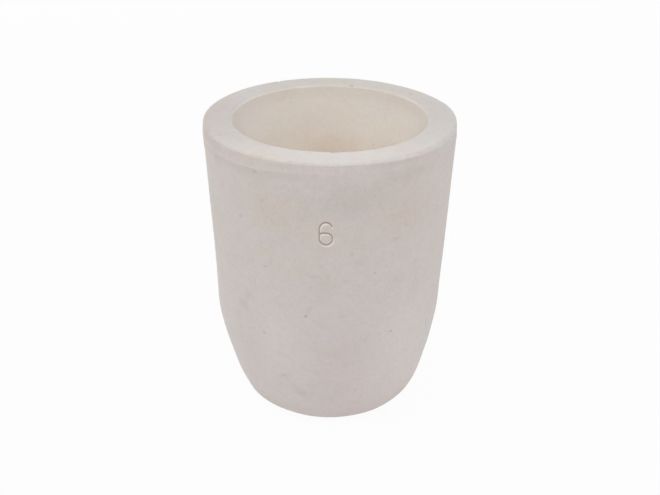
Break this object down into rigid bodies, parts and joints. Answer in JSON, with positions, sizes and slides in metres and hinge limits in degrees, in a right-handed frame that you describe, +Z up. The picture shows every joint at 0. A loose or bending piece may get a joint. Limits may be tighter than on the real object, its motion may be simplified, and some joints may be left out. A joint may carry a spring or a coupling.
{
  "type": "ceramic crucible",
  "caption": "Tall thick-walled round crucible of unglazed fired clay, with a flat rim, a straight wall, a curved heel and a flat foot. It holds a melt in a furnace.",
  "frame": {"origin": "centre of the flat foot, on the plane that the crucible stands on", "axes": "+Z up along the axis of the crucible, out of its mouth; the stamped size numeral of the finished model faces -Y"},
  "size_m": [0.13, 0.13, 0.165],
  "materials": {
    "fired_clay": "matt, unglazed, fine grained"
  },
  "bodies": {
    "root": {"crucible": "fired_clay"}
  },
  "joints": []
}
